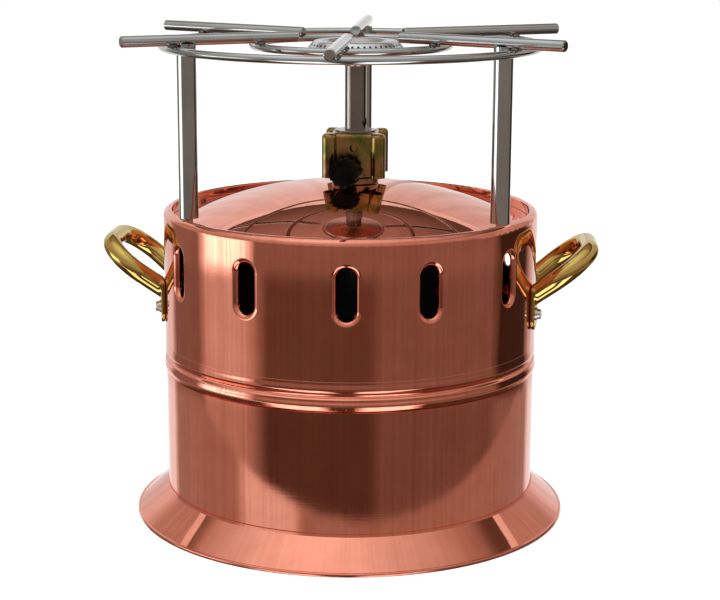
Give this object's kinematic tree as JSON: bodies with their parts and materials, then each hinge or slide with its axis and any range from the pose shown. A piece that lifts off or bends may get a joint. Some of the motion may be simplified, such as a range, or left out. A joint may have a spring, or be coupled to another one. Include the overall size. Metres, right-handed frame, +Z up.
{
  "type": "table-top gas burner",
  "caption": "Copper flambe burner: flared round body with vent slots, domed cover, brass loop handles, gas burner and steel pan support on legs.",
  "frame": {"origin": "on the floor at the centre of the flared foot", "axes": "+X through the right-hand handle, -Y towards the gas knob, +Z up"},
  "size_m": [0.318, 0.304, 0.3119],
  "materials": {
    "copper_sheet": "polished copper, finely brushed",
    "handle_brass": "polished",
    "valve_brass": "machined",
    "stainless": "polished",
    "tube_steel": "satin",
    "head_steel": "satin",
    "fastener_steel": "bright nickel",
    "zinc_yellow_steel": "yellow-passivated zinc",
    "floor_steel": "galvanised",
    "can_paint": "gloss paint",
    "seal_rubber": "matte",
    "knob_plastic": "moulded"
  },
  "bodies": {
    "foot": {"foot_skirt": "copper_sheet", "lower_drum": "copper_sheet", "base_plate": "floor_steel", "base_screws": "fastener_steel", "base_nuts": "fastener_steel"},
    "housing": {"upper_shell": "copper_sheet", "dome_cover": "copper_sheet", "leg_sockets": "fastener_steel", "handle_right": "handle_brass", "handle_left": "handle_brass", "handle_rivets": "fastener_steel", "rivet_washers": "fastener_steel", "valve_body": "valve_brass", "valve_locknut": "valve_brass", "valve_washer": "fastener_steel", "gland_nut": "valve_brass", "spindle_seal": "seal_rubber", "valve_cage": "zinc_yellow_steel", "cage_washer": "fastener_steel", "gas_jet": "valve_brass", "burner_tube": "tube_steel", "burner_head": "head_steel", "burner_cap": "head_steel", "cap_spider": "head_steel", "cap_screw": "fastener_steel", "cartridge_seal": "seal_rubber"},
    "pan_support": {"support_ring_outer": "stainless", "support_ring_inner": "stainless", "support_leg_rear": "stainless", "support_leg_left": "stainless", "support_leg_right": "stainless", "leg_spigots": "stainless", "support_rod_1": "stainless", "support_rod_2": "stainless", "support_rod_3": "stainless", "support_rod_4": "stainless", "support_rod_5": "stainless", "support_rod_6": "stainless"},
    "cartridge": {"cartridge_can": "can_paint", "cartridge_cup": "floor_steel", "cartridge_valve": "valve_brass"},
    "knob": {"control_knob": "knob_plastic", "spindle": "fastener_steel", "valve_needle": "fastener_steel"}
  },
  "joints": [
    {"name": "housing_lift", "type": "slide", "parent": "foot", "child": "housing", "axis": [0, 0, 1], "range_m": [0, 0.13]},
    {"name": "pan_support_lift", "type": "slide", "parent": "housing", "child": "pan_support", "axis": [0, 0, 1], "range_m": [0, 0.12]},
    {"name": "cartridge_unscrew", "type": "slide", "parent": "housing", "child": "cartridge", "axis": [0, 0, -1], "range_m": [0, 0.04]},
    {"name": "knob_turn", "type": "hinge", "parent": "housing", "child": "knob", "pos_m": [-0.00134, -0.02462, 0.2246], "axis": [-0.1736, -0.9848, 0], "range_deg": [0, 300]}
  ]
}
